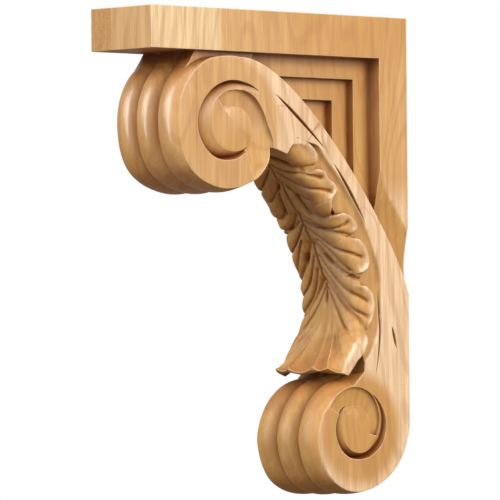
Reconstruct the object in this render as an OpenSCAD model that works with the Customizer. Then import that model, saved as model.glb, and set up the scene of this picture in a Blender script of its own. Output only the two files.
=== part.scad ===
// Corbel bracket: one carved piece of wood. A flat slab and a back board stand at a right
// angle. An S-shaped scroll braces them, with a reeded volute at each end, incised lines on
// its cheeks and an acanthus leaf on its hollow front.
// X is the width, -Y is the front, +Z is up. The wall is the plane Y = 0, and the origin lies
// on it at half of the bracket's height.

/* [Overall] */
// Height from the underside of the lower volute to the top of the slab
height = 352; // [300:1:430]
// Depth from the wall to the front edge of the slab
depth = 254; // [216:1:306]
// Width across the two cheeks
width = 66.7; // [56:0.1:80]

/* [Slab and back board] */
// Thickness of the slab at the top
slab_t = 30.6; // [24:0.1:38]
// Thickness of the board at the back
board_t = 28.3; // [22:0.1:35]
// Radius on the slab's vertical front corners
corner_r = 2.2; // [1:0.1:4]

/* [Stepped recess] */
// How far the first step lies below the cheek
recess_first = 12; // [8:0.1:15]
// How much deeper each further step goes
recess_next = 6.4; // [4:0.1:7.5]
// Width of one step's strip
recess_strip = 15.6; // [12:0.1:19]

/* [Volutes] */
// Radius of the upper volute at its front
upper_r = 46; // [40:0.5:50]
// Distance from the slab's front edge to the upper volute's centre
upper_back = 72; // [68:0.5:90]
// Distance from the top of the slab to the upper volute's centre
upper_drop = 84; // [82:0.5:95]
// Radius of the lower volute at its underside
lower_r = 48; // [42:0.5:50]
// Distance from the wall to the lower volute's centre
lower_out = 52; // [50:0.5:62]
// Depth of the eye below the cheek
eye_sink = 5; // [3:0.1:6.5]

/* [Scroll] */
// Distance from the top of the slab to where the scroll's crest meets the wall
crest_drop = 204.5; // [180:0.5:240]
// Depth of the incised lines on the cheeks
line_deep = 2; // [1:0.1:3]

/* [Reeds] */
// Number of reeds across each volute
reeds = 3; // [2:1:4]
// How far a reed stands out at the front
reed_high = 7; // [4:0.1:8]

/* [Leaf] */
// How far the ground around the leaf is cut back below the cheek
ground = 1.8; // [1:0.1:2.5]
// Thickness of the leaf at its ribs
leaf_t = 4.5; // [3:0.1:6]
// Depth of the groove along the leaf's midrib
midrib_deep = 3; // [1.5:0.1:4]

/* [Hidden] */
half_w = width / 2;
top = height / 2;
upper_c = [-depth + upper_back, top - upper_drop];
lower_c = [-lower_out, -height / 2 + lower_r * 1.0083];
maple = [0.80, 0.61, 0.40];
over = 1; // how far a cutter stands clear of the face it cuts

// Outline of the volutes: angle, and radius as a share of the volute's radius
upper_ring = [[-19, 1.01], [-32, 1.07], [-50, 1.05], [-72, 1.0], [-107, 1.0], [-126, 1.025],
    [-144, 1.04], [-176, 1.0], [-205, 1.03], [-228, 1.065], [-248, 1.09], [-266, 1.08], [-286, 1.11]];
lower_ring = [[4, 1.085], [-14, 1.03], [-39, 0.977], [-62, 0.945], [-84, 0.95], [-101, 0.965],
    [-114, 0.965], [-131, 0.95], [-145, 0.905], [-160, 0.863], [-172, 0.84], [-196, 0.76],
    [-230, 0.70], [-262, 0.67]];

// Relief of the volutes, as stations along the spiral: angle about the eye, outer radius,
// depth at the outer wall, inner radius and depth at the inner edge
upper_eye = [9, 1];
upper_outer_cove = [[48, 33.4, 0.5, 31.4, 0.5], [80, 31.6, 3, 25, 1.4], [110, 32.3, 5.4, 24.4, 2.8],
    [140, 34.4, 6.8, 24.4, 4.2], [180, 38, 7.4, 21.4, 5], [218, 34.2, 7.4, 20.4, 5],
    [253, 27.6, 6.8, 19.8, 5], [280, 23.8, 5.8, 19.8, 5], [301, 21.6, 5.2, 20, 5]];
upper_inner_cove = [[-62, 43, 0.4, 40, 0.5], [-42, 44.5, 0.5, 26, 3], [-22, 40, 0.5, 22.4, 4.6],
    [-2, 32, 0.5, 20.6, 5], [22, 28.6, 0.7, 18.6, 5], [50, 27.4, 0.8, 16.4, 5], [80, 25.8, 1.2, 14.6, 5],
    [112, 25.2, 2.6, 13.2, 5]];
lower_eye = [1, -0.5];
lower_sink = 4.2;
lower_outer_cove = [[62, 29, 0.5, 27, 0.5], [35, 28, 1.6, 23.4, 0.9], [10, 27, 3, 20.4, 1.6],
    [-20, 25, 4.2, 18, 3], [-50, 22.4, 5.4, 17.6, 4], [-90, 21.6, 6.4, 17.4, 4.2], [-130, 23.6, 6.8, 16.8, 4.2],
    [-178, 25, 6.8, 16.2, 4.2], [-212, 24, 6, 17, 4.2], [-238, 21.6, 4.8, 17.6, 4.2]];
lower_inner_cove = [[152, 34.6, 0.5, 32, 0.6], [130, 34, 0.5, 22, 3], [110, 32.6, 0.5, 18.4, 4],
    [90, 31, 0.6, 17.2, 4.2], [62, 28.2, 0.8, 16.2, 4.2], [35, 24.2, 0.9, 15.4, 4.2], [8, 21.2, 1.6, 14.8, 4.2],
    [-14, 18.8, 2.8, 14.6, 4.2]];

// Incised lines on the cheek: start, bend and end, as set-backs from the slab's front, the wall and the top
function cheek_lines() = [
    [[-134, -60], [-112, -75], [-84, -99]],
    [[-76, -109], [-60, -127], [-44.5, -151]],
    [[-39, -162], [-22, -214], [-35, -266]],
    [[-17.5, -228], [-15, -236], [-13, -244.5]]];

function mix(a, b, t) = a + (b - a) * t;
function bezier(p, t) = pow(1 - t, 3) * p[0] + 3 * pow(1 - t, 2) * t * p[1]
    + 3 * (1 - t) * t * t * p[2] + t * t * t * p[3];
function through(a, b, c, d, t) = 0.5 * (2 * b + (c - a) * t + (2 * a - 5 * b + 4 * c - d) * t * t
    + (3 * b - a - 3 * c + d) * t * t * t);
// a smooth run of points through every row of a list
function smooth(rows, n) = let (last = len(rows) - 1)
    [for (i = [0 : last - 1]) for (k = [0 : n - 1])
        through(rows[max(i - 1, 0)], rows[i], rows[i + 1], rows[min(i + 2, last)], k / n), rows[last]];
function ring_points(c, r, ring, n) = [for (s = smooth(ring, n)) c + r * s[1] * [cos(s[0]), sin(s[0])]];
function unit(v) = v / norm(v);
function ahead(path, i) = unit(path[min(i + 1, len(path) - 1)] - path[max(i - 1, 0)]);

// Side outlines, as [y, z]
function upper_outline(n) = ring_points(upper_c, upper_r, upper_ring, n);
function lower_outline(n) = ring_points(lower_c, lower_r, lower_ring, n);
function crest(n) = let (p = [[upper_c.x + 14.5, upper_c.y + upper_r * 1.075],
    [upper_c.x + 73, upper_c.y + upper_r * 1.075], [-13.7, top - crest_drop * 0.787], [0, top - crest_drop]])
    [for (i = [0 : n]) bezier(p, i / n)];
function hollow(n) = let (p = [lower_c + [6, 42], lower_c + [14, 114], upper_c + [112, -28], upper_outline(1)[0]])
    [for (i = [0 : n]) bezier(p, i / n)];
function scroll_outline() = concat(upper_outline(3), crest(16), lower_outline(3), [for (i = [0 : 13]) hollow(14)[i]]);

module across(w) { rotate([90, 0, 90]) translate([0, 0, -w / 2]) linear_extrude(w) children(); }

module slab() {
    translate([-half_w, -depth / 2, top - slab_t]) cube([width, depth / 2, slab_t]);
    hull() {
        translate([-half_w, -depth / 2 - 1, top - slab_t]) cube([width, 1, slab_t]);
        for (s = [-1, 1])
            translate([s * (half_w - corner_r), -depth + corner_r, top - slab_t])
                cylinder(r = corner_r, h = slab_t, $fn = 24);
    }
}

// The board's sides are scooped out where the hollow beside the scroll runs out to its back edge.
module board() {
    scoop_r = 60;
    scoop_deep = 5;
    difference() {
        translate([-half_w, -board_t, top - crest_drop]) cube([width, board_t, crest_drop - slab_t / 2]);
        for (s = [-1, 1])
            translate([s * (half_w + scoop_r - scoop_deep), -10, top - crest_drop + 30])
                sphere(r = scoop_r, $fn = 72);
    }
}

// Web behind the crest: three plates, each thinner than the last
module web() {
    region = concat([for (q = crest(16)) q - [6, 4]], [[-board_t / 2, top - slab_t / 2], [upper_c.x + 14.5, top - slab_t / 2]]);
    for (k = [0 : 2])
        across(width - 2 * (recess_first + k * recess_next)) difference() {
            polygon(region);
            if (k < 2)
                translate([-depth - board_t - (k + 1) * recess_strip,
                    top - slab_t - (k + 1) * recess_strip - height])
                    square([depth, height]);
        }
}

// Neck that fills the corner between the upper volute and the slab
module neck() {
    c = upper_c;
    across(width - 4) polygon([[c.x - 30, top - slab_t + over], [c.x - 38, c.y + 42], [c.x - 44, c.y + 24],
        c, [c.x + 24, c.y + 40], [c.x + 34, top - slab_t + over]]);
}

// share of a reed's full height along its run: low underneath, full at the front, lower at the
// top, and none at the two ends, which dip into the roll
function swell(t) = t < 0.001 || t > 0.999 ? 0
    : t < 0.5 ? mix(0.02, 1, pow(sin(180 * t), 2)) : mix(0.35, 1, pow(cos(180 * (t - 0.5)), 2));
// the middles of an outline's edges, from edge a to edge b
function stretch(path, a, b) = [for (i = [a : b]) (path[i] + path[i + 1]) / 2];

// Reeds: one skin swept along an outline, thick enough to sink into the roll behind it
module reeded(path, rise) {
    steps = 6 * reeds;
    last = len(path) - 1;
    function bulge(j, share) = let (in_reed = (j % 6) / 3 - 1, mid = 1 - abs(2 * j / steps - 1))
        (share > 0 ? 0.5 : -1) + share * reed_high * (1 + 0.3 * mid) * (1 - in_reed * in_reed);
    function at(i, j, deep) = let (t = ahead(path, i), q = path[i] + deep * [-t.y, t.x])
        [mix(-half_w, half_w, j / steps) * 0.994, q.x, q.y];
    rows = [for (i = [0 : last]) concat(
        [for (j = [0 : steps]) at(i, j, bulge(j, rise[i]))],
        [at(i, steps, -12), at(i, 0, -12)])];
    per = steps + 3;
    polyhedron(points = [for (r = rows) each r], faces = concat(
        [[for (j = [0 : per - 1]) j], [for (j = [per - 1 : -1 : 0]) last * per + j]],
        [for (i = [0 : last - 1]) for (j = [0 : per - 1]) let (n = (j + 1) % per)
            [i * per + j, (i + 1) * per + j, (i + 1) * per + n, i * per + n]]), convexity = 8);
}

// A cutter whose outer wall, floor and inner edge follow a table of stations
module cove(c, stations, n) {
    rows = smooth(stations, n);
    last = len(rows) - 1;
    function at(a, r, x) = [x, c.x + r * cos(a), c.y + r * sin(a)];
    pts = [for (s = rows) let (mid = mix(s[1], s[3], 0.35), low = max(s[2], s[4]) + 0.2 * (s[1] - s[3]) * (s[2] > 3 ? 0.3 : 0))
        each [at(s[0], s[1], half_w + over), at(s[0], s[1], half_w - s[2]),
            at(s[0], mid, half_w - mix(s[2], s[4], 0.35) - 0.02), at(s[0], s[3], half_w - s[4]), at(s[0], s[3], half_w + over)]];
    down = stations[0][0] > stations[1][0];
    faces = concat([[4, 3, 2, 1, 0], [for (j = [0 : 4]) last * 5 + j]],
        [for (i = [0 : last - 1]) for (j = [0 : 4]) let (n = (j + 1) % 5)
            [i * 5 + j, i * 5 + n, (i + 1) * 5 + n, (i + 1) * 5 + j]]);
    polyhedron(points = pts, faces = down ? faces : [for (f = faces) [for (j = [len(f) - 1 : -1 : 0]) f[j]]], convexity = 6);
}

// The eye's flat: a pocket bounded by the inner edges of both coves
module eye(c, outer, inner, sink) {
    rim = concat([for (s = smooth(outer, 3)) if (s[4] >= sink - 0.9) s], [for (s = smooth(inner, 3)) if (s[4] >= sink - 0.6) s]);
    pts = [for (s = rim) c + (s[3] + 0.6) * [cos(s[0]), sin(s[0])]];
    middle = [for (i = [0 : len(pts) - 1]) (pts[i] + pts[(i + 1) % len(pts)]) / 2];
    translate([half_w - sink - 0.3, 0, 0]) rotate([90, 0, 90]) linear_extrude(sink + 0.3 + over) polygon(middle);
}

// Incised line: a V cut, deepest half way along
module incised(line) {
    n = 7;
    path = [for (i = [0 : n]) let (t = i / n) pow(1 - t, 2) * line[0] + 2 * (1 - t) * t * line[1] + t * t * line[2]];
    function bite(i) = 0.25 + line_deep * sin(180 * i / n);
    for (i = [0 : n - 1])
        hull() for (k = [i, i + 1])
            translate([half_w + over / 2, path[k].x, top + path[k].y])
                rotate([0, -90, 0]) cylinder(r1 = 0.55 * bite(k) + 0.4, r2 = 0, h = bite(k) + over / 2, $fn = 6);
}

module cheek_carving() {
    cove(upper_c + upper_eye, upper_outer_cove, 3);
    cove(upper_c + upper_eye, upper_inner_cove, 3);
    eye(upper_c + upper_eye, upper_outer_cove, upper_inner_cove, eye_sink);
    cove(lower_c + lower_eye, lower_outer_cove, 3);
    cove(lower_c + lower_eye, lower_inner_cove, 3);
    eye(lower_c + lower_eye, lower_outer_cove, lower_inner_cove, lower_sink);
    for (line = cheek_lines()) incised(line);
}

// Ground: the cheek is cut back in a band along the hollow front, where the leaf's lobes lie.
module sunk_ground() {
    steps = 13;
    edge = hollow(steps);
    band = 23;
    function side(i, deep) = let (a = ahead(edge, i)) edge[i] + deep * [a.y, -a.x];
    translate([half_w - ground, 0, 0]) rotate([90, 0, 90]) linear_extrude(ground + over) polygon(concat(
        [for (i = [1 : steps - 1]) side(i, -10)],
        [for (i = [steps - 1 : -1 : 1]) side(i, band * pow(sin(180 * i / steps), 0.5))]));
}

// Leaf: a lobed skin over the hollow front, folded round onto both cheeks. Each section is
// closed by a core that lies inside the scroll.
module leaf() {
    m = 11; // steps from the midrib to the edge
    lobes = 5;
    turn = 8; // radius of the fold at the cheek
    proud = ground - 0.3; // height of the lobes above the ground they lie on
    flat = half_w - proud - turn;
    bend = flat + turn * PI / 2;
    spine = [for (q = smooth([[-77, -263], [-63, -248], [-52, -228], [-49.5, -205], [-56, -184],
        [-67, -162], [-84, -138], [-103, -115], [-113, -104]], 5)) [q.x, top + q.y]];
    last = len(spine) - 1;
    // length of the skin from the midrib to the lobes' edge, from the fan upwards
    function reach(t) = let (lobe = lobes * t, f = lobe - floor(lobe), fan = max(0, 1 - t / 0.16))
        mix(bend + 13, bend + 1, pow(2 * t - 1.1, 2)) - 8 * pow(f, 4) - 13 * fan;
    function rib(t, u) = let (wave = abs(sin(180 * (1.5 * u - lobes * t))))
        max(0.6, min(leaf_t * (0.3 + 0.7 * wave), u * reach(t) < flat - 4 ? leaf_t : proud))
            - midrib_deep * pow(1 - u, 6);
    function place(t, i, u) = let (d = u * reach(t), a = ahead(spine, i), lift = rib(t, u),
        fold = (d - flat) / turn * 180 / PI,
        x = d < flat ? d : d < bend ? flat + (turn + lift) * sin(fold) : half_w - proud + lift,
        fore = d < flat ? lift : d < bend ? (turn + lift) * cos(fold) - turn : bend - turn - d,
        q = spine[i] + fore * [-a.y, a.x])
        [x, q.x, q.y];
    function core(p, i) = let (a = ahead(spine, i)) [half_w - 9, p.y - 2 * a.y, p.z + 2 * a.x];
    function half(i) = [for (j = [0 : m]) place(i / last, i, j / m)];
    function other(p) = [-p.x, p.y, p.z];
    rows = [for (i = [0 : last]) let (h = half(i), c = core(h[m], i))
        concat([for (j = [m : -1 : 1]) other(h[j])], h, [c, other(c)])];
    per = len(rows[0]);
    polyhedron(points = [for (r = rows) each r], faces = concat(
        [[for (j = [0 : per - 1]) j], [for (j = [per - 1 : -1 : 0]) last * per + j]],
        [for (i = [0 : last - 1]) for (j = [0 : per - 1]) let (k = (j + 1) % per)
            [i * per + j, (i + 1) * per + j, (i + 1) * per + k, i * per + k]]), convexity = 12);
}

module scroll() {
    difference() {
        across(width) polygon(scroll_outline());
        sunk_ground();
        mirror([1, 0, 0]) sunk_ground();
    }
}

module corbel() color(maple) {
    upper_path = upper_outline(3);
    lower_path = lower_outline(3);
    difference() {
        union() {
            slab();
            board();
            web();
            neck();
            scroll();
            reeded(stretch(upper_path, 5, 34), [for (i = [0 : 29]) swell(i / 29)]);
            reeded(stretch(lower_path, 10, 37), [for (i = [0 : 27]) swell(i / 27)]);
            leaf();
        }
        cheek_carving();
        mirror([1, 0, 0]) cheek_carving();
    }
}

corbel();
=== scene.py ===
# %% [markdown]
# # A carved maple corbel
# A corbel is a bracket that carries a shelf or a mantel. This one is carved from a single
# glued-up blank of maple: a flat slab on top, a board against the wall, and between them an
# S-shaped scroll with a reeded roll at each end and an acanthus leaf down its hollow front.
# It could be sculpted by hand or built from a displaced plane. Here each cut is modelled the
# way the carver makes it: a sawn blank first, then gouge cuts taken out of it, because the
# crisp arrises between the cuts are what makes carved wood look carved.

# %% The frame, and the sizes that come from it
import math
import bmesh
import bpy
from mathutils import Matrix, Vector
from mathutils.geometry import intersect_point_line


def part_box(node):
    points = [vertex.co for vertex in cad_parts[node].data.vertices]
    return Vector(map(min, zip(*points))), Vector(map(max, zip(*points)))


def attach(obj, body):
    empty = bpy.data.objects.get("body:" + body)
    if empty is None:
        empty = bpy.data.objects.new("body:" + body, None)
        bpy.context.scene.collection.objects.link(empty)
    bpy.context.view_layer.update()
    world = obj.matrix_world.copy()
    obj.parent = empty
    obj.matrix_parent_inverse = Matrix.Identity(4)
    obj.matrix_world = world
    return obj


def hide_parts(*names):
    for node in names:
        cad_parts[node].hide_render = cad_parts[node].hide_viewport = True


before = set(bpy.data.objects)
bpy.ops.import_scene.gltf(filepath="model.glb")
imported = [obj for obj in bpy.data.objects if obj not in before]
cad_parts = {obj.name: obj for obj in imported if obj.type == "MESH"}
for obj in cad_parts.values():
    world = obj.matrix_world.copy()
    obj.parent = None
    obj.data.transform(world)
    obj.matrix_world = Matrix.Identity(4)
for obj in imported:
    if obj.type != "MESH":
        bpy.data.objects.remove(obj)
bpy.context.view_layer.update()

MM = 0.001
box_low, box_high = (corner / MM for corner in map(Vector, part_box("corbel")))
half_w, front, top, foot = box_high.x, box_low.y, box_high.z, box_low.z
print(f"blank: {2 * half_w:.1f} wide, {-front:.1f} deep, {top - foot:.1f} high, in millimetres")

# %% [markdown]
# ## Smooth curves
# Carvers draw a scroll with a few points and a flexible batten. The same is done here: a
# short table of points, and a curve that passes smoothly through them all (a Catmull-Rom
# spline), or a Bezier curve where only the ends and two handles matter.

# %% Curve helpers
def through(a, b, c, d, t):
    """A point between b and c, on a smooth curve that also knows its neighbours a and d."""
    return 0.5 * (2 * b + (c - a) * t + (2 * a - 5 * b + 4 * c - d) * t * t
                  + (3 * b - a - 3 * c + d) * t ** 3)


def smooth(rows, n):
    """Every row of a table, with n steps from each row to the next."""
    rows = [Vector(row) for row in rows]
    last = len(rows) - 1
    out = [through(rows[max(i - 1, 0)], rows[i], rows[i + 1], rows[min(i + 2, last)], k / n)
           for i in range(last) for k in range(n)]
    return out + [rows[last]]


def bezier(points, n):
    a, b, c, d = (Vector(p) for p in points)
    return [(1 - t) ** 3 * a + 3 * (1 - t) ** 2 * t * b + 3 * (1 - t) * t * t * c + t ** 3 * d
            for t in (i / n for i in range(n + 1))]


def mix(a, b, t):
    return a + (b - a) * t


def polar(centre, radius, degrees):
    return Vector((centre[0] + radius * math.cos(math.radians(degrees)),
                   centre[1] + radius * math.sin(math.radians(degrees))))


# %% [markdown]
# ## From rings to solids
# Most cuts on this corbel change their section as they run: a reed swells, a gouge cut gets
# deeper. Such a shape is a loft, a skin over a row of rings. Blender's grid operator already
# makes a sheet of squares, so each of its corners is moved to its place on a ring, the seam
# is merged and the ends are filled. Boolean modifiers then join or cut the solids. The
# Manifold solver is used since it keeps every edge sharp and takes well under a second.

# %% Mesh helpers
SEAM = 1e-7


def finished(bm, name):
    bmesh.ops.remove_doubles(bm, verts=bm.verts, dist=SEAM)
    bmesh.ops.holes_fill(bm, edges=[e for e in bm.edges if e.is_boundary], sides=0)
    bmesh.ops.recalc_face_normals(bm, faces=bm.faces)
    mesh = bpy.data.meshes.new(name)
    bm.to_mesh(mesh)
    bm.free()
    piece = bpy.data.objects.new(name, mesh)
    bpy.context.scene.collection.objects.link(piece)
    return piece


def loft(name, rings):
    """A solid over closed rings of points in millimetres."""
    rows, cols = len(rings), len(rings[0])
    bm = bmesh.new()
    bmesh.ops.create_grid(bm, x_segments=rows - 1, y_segments=cols, size=0.5)
    for v in bm.verts:
        i = round((v.co.x + 0.5) * (rows - 1))
        j = round((v.co.y + 0.5) * cols) % cols
        v.co = Vector(rings[i][j]) * MM
    return finished(bm, name)


def plate(name, outline, width):
    """An outline in the side view, sawn out of a board of the given width."""
    return loft(name, [[(x, p[0], p[1]) for p in outline] for x in (-width / 2, width / 2)])


def boolean(piece, tool, operation):
    cut = piece.modifiers.new(operation.lower(), "BOOLEAN")
    cut.operation, cut.solver, cut.object = operation, "MANIFOLD", tool
    solid = bpy.data.meshes.new_from_object(piece.evaluated_get(bpy.context.evaluated_depsgraph_get()))
    piece.modifiers.clear()
    if len(solid.polygons) < 4:
        raise RuntimeError(f"{tool.name} did not combine with {piece.name}")
    old, piece.data = piece.data, solid
    bpy.data.meshes.remove(old)
    bpy.data.objects.remove(tool)


def add(piece, tool):
    boolean(piece, tool, "UNION")


def cut_away(piece, tool):
    boolean(piece, tool, "DIFFERENCE")


# %% [markdown]
# ## The sawn blank
# The slab, the board and the three stepped plates of the recess are plain sawn work, so they
# are plain solids. The slab starts as a cube, and only its two front corners are rounded,
# with bevel on those two edges.

# %% Slab, board and stepped plates
slab_t = 30.6
board_t = 28.3
corner_r = 2.2
recess_depths = (12.0, 18.4, 24.8)
recess_strip = 15.6
crest_drop = 204.5
crest_z = top - crest_drop


def block(low, high):
    bm = bmesh.new()
    bmesh.ops.create_cube(bm, size=1)
    for v in bm.verts:
        v.co = Vector([(low if c < 0 else high)[k] * MM for k, c in enumerate(v.co)])
    return bm


bm = block((-half_w, front, top - slab_t), (half_w, 0, top))
corners = [e for e in bm.edges if all(v.co.y < front * MM * 0.99 for v in e.verts)
           and abs(e.verts[0].co.z - e.verts[1].co.z) > slab_t * MM / 2]
bmesh.ops.bevel(bm, geom=corners, offset=corner_r * MM, offset_type="OFFSET", affect="EDGES",
                segments=6, profile=0.5, material=-1)
corbel = finished(bm, "carved_corbel")
add(corbel, finished(block((-half_w, -board_t, crest_z), (half_w, 0, top - 5)), "board"))
print("blank:", len(corbel.data.polygons), "faces")

# %% [markdown]
# ## The scroll
# Seen from the side the scroll is an S: round the upper roll, down the crest to the wall,
# round the lower roll, and back up the hollow front. Each row of a roll's table gives an
# angle round its centre, the radius as a share of the roll's own, and how far the reeds
# stand out there, from none behind to their full height in front.

# %% Side outline of the scroll
upper_back, upper_drop, upper_r = 72, 84, 46
lower_out, lower_rise, lower_r = 52, 48.4, 48
upper_c = Vector((front + upper_back, top - upper_drop))
lower_c = Vector((-lower_out, foot + lower_rise))
upper_ring = [(-19, 1.01, 0), (-32, 1.07, 0), (-50, 1.05, 0.1), (-72, 1.0, 0.3), (-107, 1.0, 0.42),
              (-126, 1.025, 0.55), (-144, 1.04, 0.75), (-176, 1.0, 1), (-205, 1.03, 1), (-228, 1.065, 0.8),
              (-248, 1.09, 0.3), (-266, 1.08, 0), (-286, 1.11, 0)]
lower_ring = [(4, 1.085, 0), (-14, 1.03, 0), (-39, 0.977, 0.05), (-62, 0.945, 0.12), (-84, 0.95, 0.2),
              (-101, 0.965, 0.26), (-114, 0.965, 0.42), (-131, 0.95, 0.7), (-145, 0.905, 0.9),
              (-160, 0.863, 1), (-172, 0.84, 1), (-196, 0.76, 1), (-230, 0.70, 0.9), (-262, 0.67, 0.8)]


def roll_outline(centre, radius, ring, n):
    """Rows of [y, z, reed share] round one roll."""
    return [Vector((*polar(centre, radius * s[1], s[0]), max(s[2], 0))) for s in smooth(ring, n)]


upper_start = polar(upper_c, upper_r * upper_ring[0][1], upper_ring[0][0])
crest = bezier([upper_c + Vector((14.5, 49.4)), upper_c + Vector((73, 49.4)),
                (-13.7, top - crest_drop * 0.787), (0, crest_z)], 48)
hollow = bezier([lower_c + Vector((6, 42)), lower_c + Vector((14, 114)),
                 upper_c + Vector((112, -28)), upper_start], 40)
outline = (roll_outline(upper_c, upper_r, upper_ring, 8) + [Vector((*p, 0)) for p in crest]
           + roll_outline(lower_c, lower_r, lower_ring, 8) + [Vector((*p, 0)) for p in hollow[:-1]])
print("scroll outline:", len(outline), "points")

# %% [markdown]
# ## Reeds
# Three reeds run round each roll like bundled canes. Each is a low arch in section, which
# meets its neighbour and the cheek at an angle, so the grooves are crisp and each crest takes
# one clean line of light. The whole scroll is lofted across its width, and the outline of
# every ring is pushed out by the reeds' height at that place. The middle reed stands a
# little prouder.

# %% The scroll as a loft across the width
reeds = 3
reed_high = 6.6
reed_steps = 14
reed_w = 2 * half_w / reeds


def reed_bulge(x, share):
    along = ((x + half_w) / reed_w) % 1 * 2 - 1
    return max(share, 0) * reed_high * (1 + 0.3 * (1 - abs(x) / half_w)) * (1 - along * along)


def outward(path, i, closed=True):
    """Unit vector square to a path that runs clockwise in the side view."""
    n = len(path)
    a, b = (path[i - 1], path[(i + 1) % n]) if closed else (path[max(i - 1, 0)], path[min(i + 1, n - 1)])
    run = Vector((b[0] - a[0], b[1] - a[1])).normalized()
    return Vector((-run.y, run.x))


def reeded_ring(path, x):
    ring = []
    for i, p in enumerate(path):
        q = Vector(p[:2]) + outward(path, i) * reed_bulge(x, p[2])
        ring.append((x, q.x, q.y))
    return ring


stations = [mix(-half_w, half_w, i / (reeds * reed_steps)) for i in range(reeds * reed_steps + 1)]
scroll = loft("scroll", [reeded_ring(outline, x) for x in stations])
print("scroll:", len(scroll.data.polygons), "faces")

# %% [markdown]
# ## Neck and stepped plates
# Above the upper roll the reeds run on, up a short neck, and die against the slab. The
# neck's sides lie in from each cheek, which leaves a shadow under the slab. Behind the crest
# the recess drops in three steps. Each step is one plate, narrower than the last, and set in
# from the slab and the board by one more strip.

# %% Neck and plates
neck_front = [(upper_c.x - 22, top - slab_t + 2, 0.35), (upper_c.x - 27, top - slab_t - 7, 0.5),
              (upper_c.x - 35, top - slab_t - 20, 0.7), (upper_c.x - 43, top - slab_t - 36, 0.9)]
neck_path = ([Vector((upper_c.x, upper_c.y, 0))] + smooth(neck_front, 6)[::-1]
             + [Vector((upper_c.x + 34, top - slab_t + 2, 0)), Vector((upper_c.x + 24, upper_c.y + 40, 0))])
neck_w = half_w - 6
neck_stations = [x for x in stations if abs(x) < neck_w]
neck_stations = [-neck_w] + neck_stations + [neck_w]
add(scroll, loft("neck", [reeded_ring(neck_path, x) for x in neck_stations]))


behind_crest = [(q.x - 6, q.y - 4) for q in crest]
behind_crest += [(-board_t / 2, top - slab_t + 4), (crest[0].x, top - slab_t + 4)]
web = plate("web", behind_crest, 2 * (half_w - recess_depths[2]))
for k in (1, 0):
    wider = plate("step", behind_crest, 2 * (half_w - recess_depths[k]))
    inset, ceiling = -board_t - (k + 1) * recess_strip, top - slab_t - (k + 1) * recess_strip
    cut_away(wider, finished(block((-half_w, front, foot), (half_w, inset, ceiling)), "window"))
    add(web, wider)
add(scroll, web)
add(corbel, scroll)
print("blank with scroll:", len(corbel.data.polygons), "faces")

# %% [markdown]
# ## Volute relief
# On each cheek the roll's band winds in towards an eye. Between band and eye the carver runs
# a gouge along a spiral: deep and steep against the band, rising over a rounded shoulder to
# the eye. Each cut is a loft whose ring is the gouge's section, set out at stations along
# the spiral. A station gives the angle, the radius and depth at the outer wall, and the same
# at the inner edge. The eye's own floor is one flat disc, taken out last.

# %% Spiral gouge cuts
OVER = 1.5
upper_eye = upper_c + Vector((9, 1))
lower_eye = lower_c + Vector((1, -0.5))
eye_sink, lower_sink = 2.6, 1.8
eye_floor_r, lower_floor_r = 13.0, 14.2
wall_deeper = 1.5
upper_outer = [(48, 33.4, 0.3, 31.4, 0.4), (64, 32.2, 1.6, 28, 0.8), (80, 31.6, 3, 25, 1.2),
               (110, 32.3, 5.4, 24.4, 2.0), (140, 34.4, 6.8, 24.4, 2.5), (180, 38, 7.4, 21.4, 2.6),
               (218, 34.2, 7.4, 20.4, 2.6), (253, 27.6, 6.4, 19.8, 2.6), (280, 23.8, 4.6, 19.8, 2.6),
               (301, 21.6, 2.8, 20.2, 2.6), (320, 20.8, 1.9, 20.0, 2.6)]
upper_inner = [(-66, 43, 0.2, 30, 0.8), (-48, 44.5, 0.4, 22, 4.2), (-22, 40, 0.6, 21.4, 4.9),
               (-2, 32, 1.0, 20.0, 5), (22, 28.6, 1.4, 18.6, 5), (50, 27.0, 1.8, 16.4, 5),
               (80, 25.4, 2.0, 14.6, 5), (112, 24.8, 2.4, 13.6, 5), (130, 24.4, 2.8, 13.4, 5)]
lower_outer = [(62, 29, 0.4, 27, 0.4), (35, 28, 1.6, 23.4, 0.7), (10, 27, 3, 20.4, 1.1),
               (-20, 25, 4.2, 18, 1.6), (-50, 22.4, 5.4, 17.6, 1.8), (-90, 21.6, 6.4, 17.0, 1.8),
               (-130, 23.6, 6.8, 16.6, 1.8), (-178, 25, 6.6, 16.2, 1.8), (-212, 24, 4.8, 16.6, 1.8),
               (-238, 21.6, 2.6, 17.2, 1.8)]
lower_inner = [(152, 34.6, 0.3, 27, 0.8), (132, 34, 0.4, 19, 3.6), (110, 32.6, 0.8, 18.0, 4.1),
               (90, 31, 1.0, 17.2, 4.2), (62, 28.2, 1.4, 16.2, 4.2), (35, 24.2, 1.8, 15.4, 4.2),
               (8, 21.2, 2.4, 14.8, 4.2), (-14, 18.8, 3.0, 14.6, 4.2)]
floor_steps = 9


def gouge_ring(eye, row, side, roundness, sink):
    angle, r_out, d_out, r_in, d_in = row
    d_out = d_out * wall_deeper
    wall = min(0.22 * d_out, 0.3 * (r_out - r_in))
    section = [(r_out + wall, -OVER), (r_out, 0.0), (r_out - 0.5 * wall, d_out * 0.55)]
    for k in range(floor_steps + 1):
        t = k / floor_steps
        shoulder = 1 - math.sqrt(max(1 - (1 - t) ** 2, 0))
        rise = mix(shoulder, (1 - t) ** roundness, 0.35)
        section.append((mix(r_out - wall, r_in, t), mix(d_in, d_out, rise)))
    to_eye = min(max((d_in / sink - 0.5) / 0.2, 0), 1)
    section += [(mix(r_in - 0.1, r_in - 3, to_eye), mix(d_in, sink, to_eye)),
                (mix(r_in - 0.2, 2.0, to_eye), mix(d_in, sink, to_eye)),
                (mix(r_in - 0.3, 2.0, to_eye), -OVER)]
    return [(side * (half_w - d), *polar(eye, r, angle)) for r, d in section]


def gouge(eye, table, side, roundness, sink):
    return loft("gouge", [gouge_ring(eye, row, side, roundness, sink) for row in smooth(table, 9)])


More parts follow.
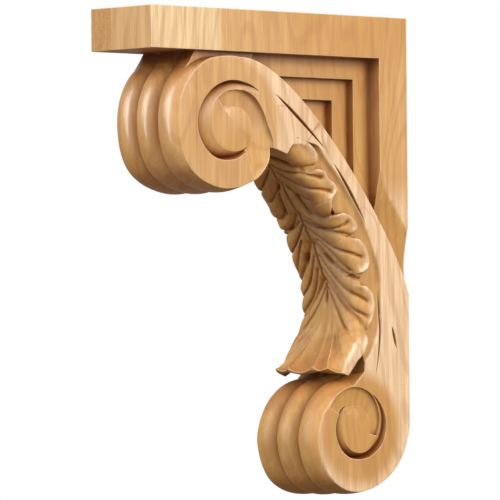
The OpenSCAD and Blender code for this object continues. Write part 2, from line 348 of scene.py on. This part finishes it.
def eye_floor(eye, radius, sink, side):
    path = [polar(eye, radius, a) for a in range(0, 360, 10)]
    return loft("eye_floor", [[(side * x, *p) for p in path] for x in (half_w - sink, half_w + OVER)])


for side in (1, -1):
    cut_away(corbel, gouge(upper_eye, upper_outer, side, 0.75, eye_sink))
    cut_away(corbel, gouge(upper_eye, upper_inner, side, 0.7, eye_sink))
    cut_away(corbel, eye_floor(upper_eye, eye_floor_r, eye_sink, side))
    cut_away(corbel, gouge(lower_eye, lower_outer, side, 0.75, lower_sink))
    cut_away(corbel, gouge(lower_eye, lower_inner, side, 0.7, lower_sink))
    cut_away(corbel, eye_floor(lower_eye, lower_floor_r, lower_sink, side))
print("with volutes:", len(corbel.data.polygons), "faces")

# %% [markdown]
# ## The valley beside the board
# Low down, where the recess would end in a blind corner, the carver runs it out backwards: a
# sloping valley starts at the board's front arris, passes behind the crest and leaves
# through the back edge, which dips a few millimetres there. Its far edge is a curve on the
# cheek, and its floor falls away from that edge at one slope until it meets the crest.

# %% Valley
valley_slope = 0.37
valley_edge = [(-28.3, -108), (-28.0, -113), (-22.4, -123), (-15, -134), (-9.5, -141), (-2, -151),
               (5, -163), (10.5, -175), (13, -184), (11.5, -193), (6, -201), (0, -207)]


def crest_y(z):
    for a, b in zip(crest, crest[1:]):
        if b.y <= z < a.y:
            return mix(a.x, b.x, (a.y - z) / (a.y - b.y))
    return 0


def valley(side):
    rings = []
    for y_far, drop in smooth(valley_edge, 6):
        z = top + drop
        y_near = max(crest_y(z) + 0.2, -34)
        y_near = min(y_near, y_far - 1)
        deep = valley_slope * (y_far - y_near)
        run = min(0.35 * deep, 0.4 * (y_far - y_near))
        section = [(y_near - 0.8, -OVER), (y_near, 0), (y_near + run, 0.8 * deep)]
        for t in (0.25, 0.5, 0.75, 1):
            section.append((mix(y_near + run, y_far, t), mix(0.85 * deep, 0, t ** 1.15)))
        section += [(y_far + 1, -OVER)]
        rings.append([(side * (half_w - d), y, z) for y, d in section])
    return loft("valley", rings)


for side in (1, -1):
    cut_away(corbel, valley(side))

# %% [markdown]
# ## A map for the leaf
# The leaf lies over the hollow front and folds round onto both cheeks. To draw it flat, as
# a carver does on paper, each place on it gets two numbers: how far out from the midrib, and
# how far up from the fan's tips. The map turns these, and a height above the wood, into a
# point in space: flat across the front, round the corner, then back along the cheek.

# %% Leaf map
leaf_ground = 3.0
fold_r = 8.0
flat_w = half_w - leaf_ground - fold_r
bend_w = flat_w + fold_r * math.pi / 2
spine_points = [(-84, -272), (-77, -263), (-63, -248), (-52, -228), (-49.5, -205), (-56, -184),
                (-67, -162), (-84, -138), (-103, -115), (-113, -104), (-124, -95)]
spine_steps = 24
spine = [Vector((p[0], top + p[1])) for p in smooth(spine_points, spine_steps)]
spine_run = [0.0]
for a, b in zip(spine, spine[1:]):
    spine_run.append(spine_run[-1] + (b - a).length)
fan_tip = spine_run[spine_steps]


def on_leaf(out, up, lift):
    """out: from the midrib. up: from the fan's tips. lift: height above the wood."""
    run = min(max(up + fan_tip, 0), spine_run[-1] - 0.01)
    i = max(k for k in range(len(spine)) if spine_run[k] <= run)
    t = (run - spine_run[i]) / (spine_run[i + 1] - spine_run[i])
    n = mix(outward(spine, i, False), outward(spine, i + 1, False), t).normalized()
    foot_point = mix(spine[i], spine[i + 1], t)
    d = abs(out)
    if d < flat_w:
        x, fore = d, lift
    elif d < bend_w:
        turn = (d - flat_w) / fold_r
        lift = min(lift, (fold_r + leaf_ground - 0.05) / math.sin(max(turn, 0.1)) - fold_r)
        x, fore = flat_w + (fold_r + lift) * math.sin(turn), (fold_r + lift) * math.cos(turn) - fold_r
    else:
        x, fore = half_w - leaf_ground + min(lift, leaf_ground - 0.05), bend_w - fold_r - d
    q = foot_point + n * fore
    return (math.copysign(x, out) if out else 0, q.x, q.y)


print(f"leaf: {spine_run[-1] - fan_tip:.0f} mm from the fan's tips to the roll")

# %% [markdown]
# ## Sunk ground
# So that the lobes stand out on the cheek without being thicker than the blank, the cheek
# is lowered round them and fades back to full height behind. At the leaf's root, beside the
# upper roll, the same cut runs right across the front, so that the leaf starts in clear space.

# %% Sunk ground
ground_edge = [(19, 40, 42), (24, 41, 45), (32, 42.5, 47), (45, 42.5, 48), (60, 43.5, 49), (80, 46, 51),
               (100, 46.5, 52), (120, 46.5, 51.5), (140, 45.5, 50), (152, 45, 49.5), (165, 43.5, 48),
               (178, 44.5, 48), (186, 41, 42), (191, 38.6, 39.2), (195.5, 36.3, 36.6)]


def sunk_ground(side):
    rings = []
    for up, inner, outer in smooth(ground_edge, 8):
        edge = on_leaf(flat_w, up, 0)[1:]
        fore = Vector(on_leaf(flat_w, up, 1)[1:]) - Vector(edge)
        root = min(max((up - 176) / 8, 0), 1)
        reach, inside = mix(7, 12, root), mix(flat_w + 1, -0.5, root)
        rim = [(half_w + OVER, reach), (inside, reach), (inside, -0.8),
               (flat_w + fold_r * 0.66, -3.0), (half_w - leaf_ground - 0.8, -fold_r)]
        ring = [(side * x, *(Vector(edge) + fore * f)) for x, f in rim]
        for out, deep in ((0, leaf_ground), (0.35, leaf_ground * 0.9), (0.7, leaf_ground * 0.5),
                          (1, 0), (1.15, -OVER)):
            y, z = on_leaf(max(mix(inner, outer, out), bend_w + 0.01), up, 0)[1:]
            ring.append((side * (half_w - deep), y, z))
        rings.append(ring)
    return loft("ground", rings)


for side in (1, -1):
    cut_away(corbel, sunk_ground(side))

# %% [markdown]
# ## The acanthus leaf
# The leaf could be built lobe by lobe, but a carver cuts it from one thickness of wood: the
# outline is set in first, then the ground is dropped round it, then the veins are run with a
# parting tool and the lobes are hollowed between them. So it is one sheet whose height over
# the ground is worked out at each place, from how far that place is from the outline, from
# the partings between lobes, from the veins and from the pockets where two lobes separate.

# %% Outline, partings and veins on the leaf map
# the outline is given as (out from the midrib, up from the fan's tips)
margin = [(33, 198), (36, 195.5), (39, 191.5), (42, 185), (43.5, 179), (43.5, 174.5), (41, 171),
          (36, 168.5), (37.5, 166), (41.5, 160), (40.5, 154), (43.5, 148), (43, 142.5),
          (36, 141.3), (33.5, 140), (31, 135), (28.5, 130.2), (31, 129), (37, 127), (42, 121),
          (44.5, 114), (43, 110), (37, 108.6), (36, 107.6), (41.5, 103), (44, 97), (44.5, 90),
          (43, 84), (39.5, 81.6), (33.5, 80.6), (31.5, 77), (31, 73), (34.5, 71.6), (40, 66.5),
          (41.8, 60), (41, 53), (38.5, 47), (38.5, 42), (41, 37), (41.5, 30), (40, 25),
          (38.5, 20), (38.5, 12), (38.5, 5), (38, -1)]
partings = [[(1, 193), (12, 186), (26, 175), (37, 168.5)],
            [(3, 163), (9, 152), (12, 138), (20, 131), (29, 130)],
            [(3, 134), (10, 126), (26, 116), (37, 108)],
            [(3, 108), (10, 97.5), (20, 86), (32, 76)],
            [(2, 78), (12, 66), (24, 54), (38, 43)]]
veins = [[(2, 184), (9, 177), (25, 170), (37, 158)],
         [(3, 176), (14, 166), (31, 152), (38, 145)],
         [(4, 160), (12, 153), (20.5, 147)],
         [(3, 128), (14, 122), (30, 119), (38, 118)],
         [(2, 124), (8, 117), (20, 106), (39, 91)],
         [(9, 112), (18, 100), (27, 85)],
         [(3, 98), (14, 79), (25.5, 68), (36, 62)],
         [(3, 88), (12, 71), (24, 57), (37, 52)],
         [(2, 72), (10, 58), (20, 44), (30, 33)]]
pockets = [[(10, 151), (11.5, 143), (12, 136)],
           [(10, 99), (13, 94)],
           [(26, 172), (34, 169)],
           [(7, 190), (20, 182)]]


def distance(place, path):
    best = 1e9
    for a, b in zip(path, path[1:]):
        near, t = intersect_point_line(place, a, b)
        near = a if t < 0 else b if t > 1 else near
        best = min(best, (place - near).length)
    return best


def valley_of(place, paths, wide):
    """1 on the nearest of the paths, falling to 0 away from it."""
    return max(math.exp(-(distance(place, path) / wide) ** 2) for path in paths)


def as_paths(tables):
    return [smooth([(*p, 0) for p in table], 4) for table in tables]


edge_path = [Vector((*p, 0)) for p in margin]
parting_paths, vein_paths, pocket_paths = as_paths(partings), as_paths(veins), as_paths(pockets)


def margin_at(up):
    for a, b in zip(margin, margin[1:]):
        if up >= b[1]:
            return mix(a[0], b[0], min(max((a[1] - up) / (a[1] - b[1]), 0), 1))
    return margin[-1][0]


# %% Height of the leaf
ridges = (0, 12.8, 26, 38)
middle_tip, outer_tip, corner_tip = -1.0, 0.5, 7.5


def flute(out, up):
    """Which flute of the fan a place is in, and where across it, -1 to 1."""
    spread = mix(1, 0.2, min(max(up - 2, 0) / 58, 1) ** 0.9)
    for k in (0, 1, 2):
        low, high = (-ridges[1] if k == 0 else ridges[k]) * spread, ridges[k + 1] * spread
        if out <= high:
            return k, 2 * (out - low) / (high - low) - 1
    return 2, 1.0


def fan_edge(out):
    """How far up from the fan's tips its scalloped edge lies."""
    k, v = flute(out, 0)
    to_corner = min(max((out - ridges[2]) / 9, 0), 1)
    tip = (middle_tip, outer_tip, mix(outer_tip, corner_tip, to_corner))[k]
    return tip + 2.6 * (1 - math.sqrt(max(1 - (0.96 * v) ** 2, 0)))


def leaf_height(out, up, low_edge):
    place = Vector((out, up, 0))
    rim = distance(place, edge_path)
    on_cheek = min(max((out - 20) / 15, 0), 1)
    lobe_part = mix(4.6, 3.0, on_cheek) - 1.9 * (1 - math.exp(-(rim / 3.4) ** 2))
    lobe_part += 0.9 * (1 - math.exp(-(rim / 12) ** 2))
    lobe_part -= 1.8 * valley_of(place, parting_paths, 3.6) + 1.6 * valley_of(place, parting_paths, 1.1)
    lobe_part -= 0.6 * valley_of(place, vein_paths, 2.4) + 1.6 * valley_of(place, vein_paths, 0.85)
    lobe_part -= 2.6 * valley_of(place, pocket_paths, 2.0)
    ruffle = math.exp(-((up - 192) / 7) ** 2)
    lobe_part += 4.2 * ruffle * math.exp(-(min(rim, 198 - up) / 3.2) ** 2)
    k, v = flute(out, up)
    deep = 2.9 * (1 - v * v) * min(1, max(60 - up, 0) / 26)
    lip = 1.5 * math.exp(-((up - low_edge) / 1.7) ** 2)
    fan_part = mix(4.6, 3.0, on_cheek) - deep + lip
    to_fan = min(max((50 - up - 0.25 * out) / 14, 0), 1)
    height = mix(lobe_part, fan_part, to_fan * to_fan * (3 - 2 * to_fan))
    rib = min(max((up - 56) / 10, 0), 1)
    height -= rib * (1.0 * math.exp(-(out / 3.4) ** 2) + 3.0 * math.exp(-(out / 1.1) ** 2))
    return height - 0.7 * math.exp(-(min(rim, up - low_edge + 0.3) / 0.45) ** 2)


# %% The leaf as one sheet
leaf_rows, leaf_cols = 300, 58


def leaf():
    rings = []
    for i in range(leaf_rows + 1):
        level = mix(-1, 197.5, i / leaf_rows)
        half = []
        for j in range(leaf_cols + 1):
            out = margin_at(level) * j / leaf_cols
            low_edge = fan_edge(out)
            up = level + max(low_edge + 1, 0) * max(1 - (level + 1) / 30, 0)
            half.append((out, up, leaf_height(out, up, low_edge)))
        over = [on_leaf(-o, u, h) for o, u, h in half[:0:-1]] + [on_leaf(o, u, h) for o, u, h in half]
        edge_out = half[-1][0]
        thin = min(max((level - 6) / 24, 0), 1)
        under = []
        for share in (0.98, 0.8, 0.4, 0, -0.4, -0.8, -0.98):
            nearest = half[round(abs(share) * leaf_cols)]
            low = mix(nearest[2] - 2.6, -3.6 if abs(share) < 0.9 else -2.5, thin)
            under.append(on_leaf(edge_out * share, nearest[1], low))
        rings.append(over + under)
    return loft("leaf", rings)


add(corbel, leaf())
print("with the leaf:", len(corbel.data.polygons), "faces")

# %% [markdown]
# ## Incised lines
# Four V-shaped lines follow the flow of the scroll on each cheek. They start and end in a
# point, as a parting tool leaves them when it is eased in and out. They are cut last, since
# they pass close to the sunk ground beside the leaf and have to stay crisp there.

# %% Incised lines
cheek_lines = [[(-134, -60), (-112, -75), (-84, -99)], [(-76, -109), (-60, -127), (-44.5, -151)],
               [(-39, -162), (-22, -214), (-35, -266)], [(-17.5, -228), (-15, -236), (-13, -244.5)]]
line_wide, line_deep = 2.6, 3.0


def incised(line, side):
    a, b, c = (Vector((p[0], top + p[1])) for p in line)
    rings = []
    for i in range(25):
        t = i / 24
        p = (1 - t) ** 2 * a + 2 * (1 - t) * t * b + t * t * c
        run = (2 * (1 - t) * (b - a) + 2 * t * (c - b)).normalized()
        off = Vector((-run.y, run.x))
        bite = 0.04 + math.sin(math.pi * t) ** 0.8
        w, d = 0.5 * line_wide * bite, line_deep * bite
        grow = (d + OVER) / d
        section = [(w * grow, -OVER), (0.12 * w, d * 0.94), (-0.12 * w, d * 0.94), (-w * grow, -OVER)]
        rings.append([(side * (half_w - h), *(p + off * s)) for s, h in section])
    return loft("line", rings)


for side in (1, -1):
    for line in cheek_lines:
        cut_away(corbel, incised(line, side))
print("with lines:", len(corbel.data.polygons), "faces")

# %% [markdown]
# ## Shading normals
# Carved wood is smooth along a cut and sharp across an arris. Faces that meet at a small
# angle are shaded as one surface, and the rest keep a hard edge. A weighted normal modifier
# lets the big flat cheeks stay flat where small faces meet them.

# %% Finish the mesh
SHARP_ANGLE = 44


def finish_surface(piece):
    bm = bmesh.new()
    bm.from_mesh(piece.data)
    bmesh.ops.remove_doubles(bm, verts=bm.verts, dist=0.01 * MM)
    bmesh.ops.dissolve_degenerate(bm, edges=bm.edges, dist=0.005 * MM)
    bmesh.ops.triangulate(bm, faces=bm.faces[:])
    bm.to_mesh(piece.data)
    bm.free()
    piece.data.shade_smooth()
    piece.data.set_sharp_from_angle(angle=math.radians(SHARP_ANGLE))
    weighted = piece.modifiers.new("weighted_normal", "WEIGHTED_NORMAL")
    weighted.keep_sharp = True
    weighted.weight = 60


finish_surface(corbel)
print("finished:", len(corbel.data.polygons), "triangles")

# %% [markdown]
# ## Maple
# Maple is pale and fine-grained. On this corbel the grain runs upright through everything,
# the blank is glued up from boards of differing tone, and a satin lacquer over a light glaze
# leaves the arrises pale and the deep cuts brown. Light is painted into the colour as well: a
# painted highlight on the arrises, painted shade in the deep cuts and a painted sheen on the
# flat cheeks. All of that is built from noise stretched along the grain, from the place in the
# blank, and from how open or tucked away a spot is.

# %% Node helpers
class Nodes:
    """Short spellings for building a node tree."""

    def __init__(self, tree):
        self.tree = tree

    def new(self, kind, values=None, **settings):
        node = self.tree.nodes.new(kind)
        for key, value in settings.items():
            setattr(node, key, value)
        for key, value in (values or {}).items():
            self.put(node.inputs[key], value)
        return node

    def put(self, socket, value):
        if isinstance(value, bpy.types.NodeSocket):
            self.tree.links.new(value, socket)
        else:
            socket.default_value = value

    def math(self, operation, a, b=0.0, c=0.0, clamp=False):
        node = self.new("ShaderNodeMath", {0: a, 1: b, 2: c}, operation=operation, use_clamp=clamp)
        return node.outputs[0]

    def ramp(self, value, low, high, to_low=0.0, to_high=1.0):
        node = self.new("ShaderNodeMapRange", {"Value": value, "From Min": low, "From Max": high,
                        "To Min": to_low, "To Max": to_high}, interpolation_type="SMOOTHSTEP")
        return node.outputs["Result"]

    def colour(self, factor, a, b, blend="MIX"):
        node = self.new("ShaderNodeMix", data_type="RGBA", blend_type=blend)
        self.put(node.inputs["Factor"], factor)
        self.put(node.inputs[6], a)
        self.put(node.inputs[7], b)
        return node.outputs[2]

    def noise(self, vector, scale, detail=2.0, rough=0.5, warp=0.0):
        node = self.new("ShaderNodeTexNoise", {"Vector": vector, "Scale": scale, "Detail": detail,
                        "Roughness": rough, "Distortion": warp})
        return node.outputs["Fac"]

    def stretched(self, vector, scale):
        return self.new("ShaderNodeMapping", {"Vector": vector, "Scale": scale}).outputs["Vector"]


def srgb(r, g, b):
    """A colour as a maker mixes it, 0 to 255, in Blender's linear light."""
    light = [((c / 255 + 0.055) / 1.055) ** 2.4 for c in (r, g, b)]
    return (*light, 1.0)


def group(name, inputs, outputs):
    tree = bpy.data.node_groups.new(name, "ShaderNodeTree")
    for label, kind, value in inputs:
        socket = tree.interface.new_socket(name=label, in_out="INPUT", socket_type=kind)
        if value is not None:
            socket.default_value = value
    for label, kind in outputs:
        tree.interface.new_socket(name=label, in_out="OUTPUT", socket_type=kind)
    return tree, Nodes(tree), tree.nodes.new("NodeGroupInput"), tree.nodes.new("NodeGroupOutput")


# %% Grain group
FLOAT, VECTOR, COLOR = "NodeSocketFloat", "NodeSocketVector", "NodeSocketColor"


def grain_group():
    tree, n, given, out = group("upright_grain", [("Place", VECTOR, None), ("Strength", FLOAT, 1.0)],
                                [("Streaks", FLOAT), ("Figure", FLOAT), ("Lines", FLOAT), ("Height", FLOAT)])
    place = given.outputs["Place"]
    fine = n.noise(n.stretched(place, (1, 1, 0.035)), 950, 3, 0.6)
    broad = n.noise(n.stretched(place, (1, 1, 0.05)), 240, 3, 0.55)
    streaks = n.math("ADD", n.math("MULTIPLY", fine, 0.5), n.math("MULTIPLY", broad, 0.5))
    drift = n.noise(n.stretched(place, (1, 1, 0.3)), 12, 2, 0.5, 0.3)
    rings = n.math("SINE", n.math("MULTIPLY", drift, 120))
    figure = n.ramp(rings, 0.1, 1.0)
    wander = n.noise(n.stretched(place, (1, 1, 0.6)), 17, 1.5, 0.4, 0.6)
    near = n.math("ABSOLUTE", n.math("SUBTRACT", wander, 0.56))
    line = n.ramp(near, 0.0, 0.0045, 1, 0)
    gaps = n.ramp(n.noise(place, 26, 1), 0.5, 0.62)
    n.put(out.inputs["Streaks"], n.math("MULTIPLY", streaks, given.outputs["Strength"]))
    n.put(out.inputs["Figure"], figure)
    n.put(out.inputs["Lines"], n.math("MULTIPLY", line, gaps))
    n.put(out.inputs["Height"], streaks)
    return tree


# Edge feeds pale arrises that are partly wear and partly a painted highlight; Hollow feeds brown hollows
# that are partly glaze and partly painted shade.
def wear_and_painted_light_group():
    """How open a spot is: arrises are 1 in Edge, tucked-away places are 1 in Hollow."""
    tree, n, given, out = group("arris_and_hollow",
                                [("Edge width", FLOAT, 0.0010), ("Hollow size", FLOAT, 0.014)],
                                [("Edge", FLOAT), ("Hollow", FLOAT), ("Normal", VECTOR)])
    rounded = n.new("ShaderNodeBevel", {"Radius": given.outputs["Edge width"]}, samples=6).outputs["Normal"]
    plain = n.new("ShaderNodeNewGeometry").outputs["Normal"]
    dot = n.new("ShaderNodeVectorMath", {0: rounded, 1: plain}, operation="DOT_PRODUCT").outputs["Value"]
    turn = n.ramp(n.math("SUBTRACT", 1.0, dot), 0.003, 0.07)
    reach = given.outputs["Hollow size"]
    open_air = n.new("ShaderNodeAmbientOcclusion", {"Distance": reach}, samples=8).outputs["AO"]
    n.put(out.inputs["Edge"], n.math("MULTIPLY", turn, n.ramp(open_air, 0.70, 0.95)))
    n.put(out.inputs["Hollow"], n.ramp(open_air, 0.92, 0.30))
    n.put(out.inputs["Normal"], rounded)
    return tree


grain, wear_and_painted_light = grain_group(), wear_and_painted_light_group()
print("node groups:", grain.name, wear_and_painted_light.name)

# %% [markdown]
# The board tones come first, with a painted sheen on the flat cheeks, then the grain, then what
# the finish does at arrises, in deep cuts, and on faces that look up or down, where the cut fibre
# ends soak up more glaze. The pale arrises are partly a painted highlight, and the brown deep
# cuts partly painted shade.

# %% Maple material
def maple():
    material = bpy.data.materials.new("maple")
    material.use_nodes = True
    tree = material.node_tree
    tree.nodes.clear()
    n = Nodes(tree)
    shader = n.new("ShaderNodeBsdfPrincipled")
    n.put(n.new("ShaderNodeOutputMaterial").inputs["Surface"], shader.outputs["BSDF"])
    place = n.new("ShaderNodeTexCoord").outputs["Object"]
    axis = n.new("ShaderNodeSeparateXYZ", {0: place}).outputs
    g = n.new("ShaderNodeGroup", node_tree=grain)
    n.put(g.inputs["Place"], place)
    w = n.new("ShaderNodeGroup", node_tree=wear_and_painted_light)
    grain_out, wear_and_painted_light_out = g.outputs, w.outputs

    patch = n.noise(place, 9, 2, 0.5)
    honey, pale, pink = srgb(200, 148, 78), srgb(232, 202, 152), srgb(212, 166, 106)
    base = n.colour(n.ramp(patch, 0.35, 0.62), honey, pink)
    beside = n.math("ABSOLUTE", axis["X"])
    on_cheek = n.ramp(beside, 0.0316, 0.0328)
    front_board = n.math("MULTIPLY", n.ramp(axis["Y"], -0.1868, -0.1872), n.ramp(axis["Z"], 0.1448, 0.1456))
    front_board = n.math("MULTIPLY", front_board, n.math("ADD", 0.2, n.math("MULTIPLY", on_cheek, 0.8)))
    base = n.colour(front_board, base, pale)
    dark_side = n.math("MULTIPLY", n.ramp(axis["X"], -0.0108, -0.0112), n.ramp(axis["Y"], -0.2395, -0.2405))
    base = n.colour(dark_side, base, srgb(200, 152, 92))
    flecks = n.math("MULTIPLY", dark_side, n.ramp(n.noise(place, 900, 1), 0.50, 0.62))
    base = n.colour(n.math("MULTIPLY", flecks, 0.5), base, srgb(166, 112, 58))

    # Painted sheen, partly paler wood: the flat cheeks away from the two rolls and the board are washed
    # paler, mostly standing in for the white surroundings reflected in the lacquer.
    side_view = n.new("ShaderNodeCombineXYZ", {"Y": axis["Y"], "Z": axis["Z"]}).outputs[0]
    painted_cheek_sheen = n.ramp(axis["Z"], 0.146, 0.1445)
    for centre, near, far in ((upper_c, 0.047, 0.056), (lower_c, 0.034, 0.047)):
        away = n.new("ShaderNodeVectorMath", {0: side_view, 1: (0, centre.x * MM, centre.y * MM)},
                     operation="DISTANCE").outputs["Value"]
        painted_cheek_sheen = n.math("MULTIPLY", painted_cheek_sheen, n.ramp(away, near, far))
    on_board = n.math("MULTIPLY", n.ramp(axis["Y"], -0.030, -0.028), n.ramp(axis["Z"], 0.030, 0.060))
    painted_cheek_sheen = n.math("MULTIPLY", painted_cheek_sheen, n.math("SUBTRACT", 1.0, on_board))
    base = n.colour(n.math("MULTIPLY", n.math("MULTIPLY", painted_cheek_sheen, on_cheek), 0.75), base, srgb(246, 216, 178))
    carved = n.math("MULTIPLY", n.ramp(beside, 0.0328, 0.0312), n.ramp(axis["Y"], -0.186, -0.176))
    carved = n.math("MULTIPLY", carved, n.ramp(axis["Z"], 0.092, 0.080))
    base = n.colour(n.math("MULTIPLY", carved, 0.70), base, srgb(204, 156, 80))
    streak = n.ramp(grain_out["Streaks"], 0.38, 0.62)
    base = n.colour(n.math("MULTIPLY", streak, 0.42), base, srgb(176, 120, 64))
    base = n.colour(n.math("MULTIPLY", grain_out["Figure"], 0.26), base, srgb(168, 112, 60))
    cheek_lines_only = n.math("MULTIPLY", grain_out["Lines"], n.math("MULTIPLY", on_cheek, 0.55))
    base = n.colour(cheek_lines_only, base, srgb(150, 92, 48))
    from_glue = n.math("ABSOLUTE", n.math("ADD", axis["Y"], 0.212))
    glue = n.math("MULTIPLY", n.ramp(from_glue, 0.0004, 0.0001), 0.5)
    base = n.colour(glue, base, srgb(140, 92, 52))

    facing = n.new("ShaderNodeTexCoord").outputs["Normal"]
    upright = n.math("ABSOLUTE", n.new("ShaderNodeSeparateXYZ", {0: facing}).outputs["Z"])
    end_grain = n.ramp(upright, 0.25, 0.9)
    base = n.colour(n.math("MULTIPLY", end_grain, 0.75), base, srgb(214, 178, 128), "MULTIPLY")
    # Painted shade, partly glaze: tucked-away places are darkened brown, both for glaze gathered in the cuts
    # and for the shade that falls there.
    base = n.colour(n.math("MULTIPLY", wear_and_painted_light_out["Hollow"], 0.90), base, srgb(178, 128, 70), "MULTIPLY")
    # Painted highlight, partly wear: arrises are lightened, both for glaze rubbed thin there and for the
    # light a rounded edge catches.
    base = n.colour(n.math("MULTIPLY", wear_and_painted_light_out["Edge"], 0.70), base, srgb(250, 222, 170))
    n.put(shader.inputs["Base Color"], base)

    rough = n.math("ADD", 0.36, n.math("MULTIPLY", grain_out["Streaks"], 0.10))
    rough = n.math("ADD", rough, n.math("MULTIPLY", carved, 0.16))
    n.put(shader.inputs["Roughness"], rough)
    bump = n.new("ShaderNodeBump", {"Strength": 0.25, "Distance": 0.0003, "Height": grain_out["Height"],
                 "Normal": wear_and_painted_light_out["Normal"]})
    n.put(shader.inputs["Normal"], bump.outputs["Normal"])
    n.put(shader.inputs["Coat Weight"], n.math("MULTIPLY", n.math("SUBTRACT", 1.0, carved), 0.30))
    shader.inputs["Coat Roughness"].default_value = 0.24
    shader.inputs["IOR"].default_value = 1.5
    return material


corbel.data.materials.clear()
corbel.data.materials.append(maple())
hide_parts("corbel")
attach(corbel, "root")

# %% [markdown]
# ## Stage, light and camera
# The corbel hangs over a pale floor in white surroundings, which light it from all round.
# A tall narrow soft box in front only shows in the lacquer's sheen and draws the upright
# highlights down the reeds. A wider box in front lights the face, a stronger one on the
# right washes over the flat cheek, and a weak one above fills in. The camera is far away
# with a long lens, so the bracket keeps its proportions.

# %% Floor
def floor():
    bm = bmesh.new()
    bmesh.ops.create_grid(bm, x_segments=1, y_segments=1, size=30)
    bmesh.ops.translate(bm, verts=bm.verts, vec=(0, 0, foot * MM - 0.05))
    mesh = bpy.data.meshes.new("floor")
    bm.to_mesh(mesh)
    bm.free()
    plane = bpy.data.objects.new("floor", mesh)
    bpy.context.scene.collection.objects.link(plane)
    material = bpy.data.materials.new("pale_floor")
    material.use_nodes = True
    n = Nodes(material.node_tree)
    material.node_tree.nodes.clear()
    seen = n.new("ShaderNodeLightPath").outputs["Is Camera Ray"]
    grey = n.new("ShaderNodeBsdfDiffuse", {"Color": (0.24, 0.22, 0.20, 1)}).outputs[0]
    white = n.new("ShaderNodeEmission", {"Color": (1, 1, 1, 1), "Strength": 1.0}).outputs[0]
    both = n.new("ShaderNodeMixShader", {0: seen, 1: grey, 2: white}).outputs[0]
    n.put(n.new("ShaderNodeOutputMaterial").inputs["Surface"], both)
    mesh.materials.append(material)


floor()

# %% World and lights
scene = bpy.context.scene
scene.view_settings.view_transform = "Standard"
world = bpy.data.worlds.new("white_studio")
world.use_nodes = True
scene.world = world
world.node_tree.nodes.clear()
n = Nodes(world.node_tree)
seen = n.new("ShaderNodeLightPath").outputs["Is Camera Ray"]
studio = n.new("ShaderNodeBackground", {"Color": (1.0, 0.99, 0.975, 1), "Strength": 0.56}).outputs[0]
paper = n.new("ShaderNodeBackground", {"Color": (1, 1, 1, 1), "Strength": 1.0}).outputs[0]
both = n.new("ShaderNodeMixShader", {0: seen, 1: studio, 2: paper}).outputs[0]
n.put(n.new("ShaderNodeOutputWorld").inputs["Surface"], both)


def soft_box(name, place, aim, size, power, tint=(1, 1, 1), sheen_only=False):
    light = bpy.data.lights.new(name, "AREA")
    light.shape = "RECTANGLE"
    light.size, light.size_y = size
    light.energy = power
    light.color = tint
    holder = bpy.data.objects.new(name, light)
    scene.collection.objects.link(holder)
    holder.visible_diffuse = not sheen_only
    holder.location = place
    holder.rotation_euler = (Vector(aim) - Vector(place)).to_track_quat("-Z", "Y").to_euler()


middle = (0, front * MM / 2, 0)
soft_box("front_strip", (0.38, -1.70, 0.06), middle, (0.20, 3.4), 60, sheen_only=True)
soft_box("front_key", (-0.2, -2.3, 1.0), middle, (1.2, 1.2), 34)
soft_box("right_wash", (2.4, 0.5, 1.1), middle, (1.6, 1.6), 62, (1.0, 0.97, 0.95))
soft_box("top_fill", (0.3, -0.6, 1.8), middle, (1.2, 1.2), 10)

# %% Camera
camera = bpy.data.objects.new("camera", bpy.data.cameras.new("camera"))
scene.collection.objects.link(camera)
scene.camera = camera
azimuth, elevation, roll = (math.radians(a) for a in (46.796, -1.742, -0.486))
back = Vector((math.sin(azimuth) * math.cos(elevation),
               -math.cos(azimuth) * math.cos(elevation),
               math.sin(elevation)))
level = Vector((math.cos(azimuth), math.sin(azimuth), 0))
upward = back.cross(level)
across = math.cos(roll) * level + math.sin(roll) * upward
above = -math.sin(roll) * level + math.cos(roll) * upward
turned = Matrix((across, above, back)).transposed().to_4x4()
camera.matrix_world = Matrix.Translation((3.3132, -3.2409, -0.1347)) @ turned
camera.data.lens = 449.1
camera.data.sensor_width = 36
camera.data.clip_end = 60
